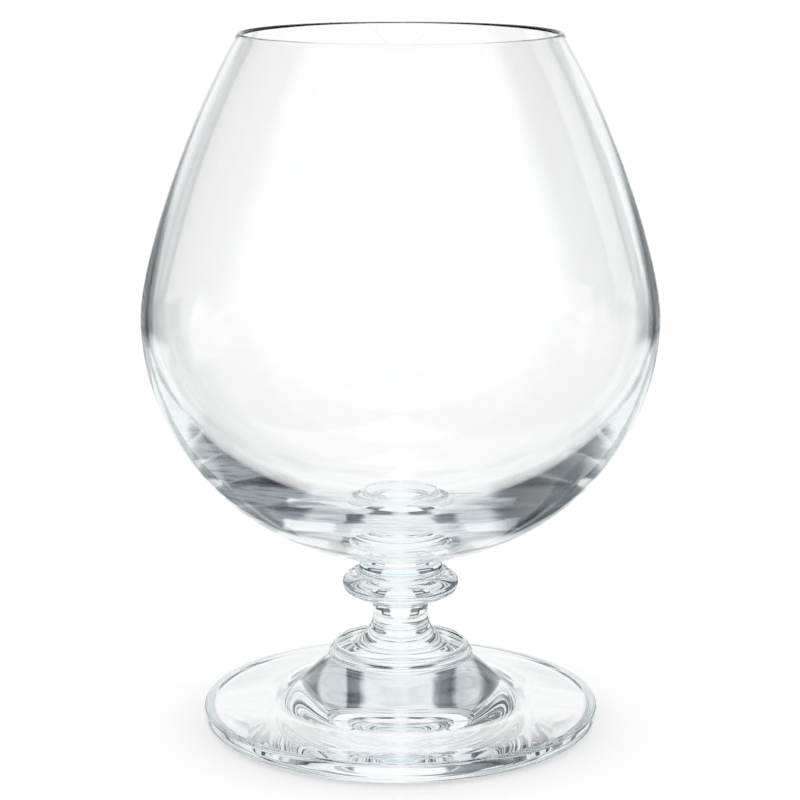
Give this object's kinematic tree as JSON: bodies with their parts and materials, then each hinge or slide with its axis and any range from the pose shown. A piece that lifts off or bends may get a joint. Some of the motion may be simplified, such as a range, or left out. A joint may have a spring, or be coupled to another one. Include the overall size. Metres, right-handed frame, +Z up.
{
  "type": "brandy snifter",
  "caption": "Clear glass snifter: wide bowl narrowing to its rim, on a short stem with a knop and a stepped collar, over a domed foot.",
  "frame": {"origin": "middle of the ring that the foot stands on, on the table", "axes": "+Z up along the axis of the glass, out of its mouth; +X to the right and +Y away from the viewer of the picture"},
  "size_m": [0.0898, 0.0898, 0.122],
  "materials": {
    "glass": "polished"
  },
  "bodies": {
    "root": {"foot": "glass", "foot_collar": "glass", "stem": "glass", "knop": "glass", "bowl_collar": "glass", "bowl": "glass"}
  },
  "joints": []
}
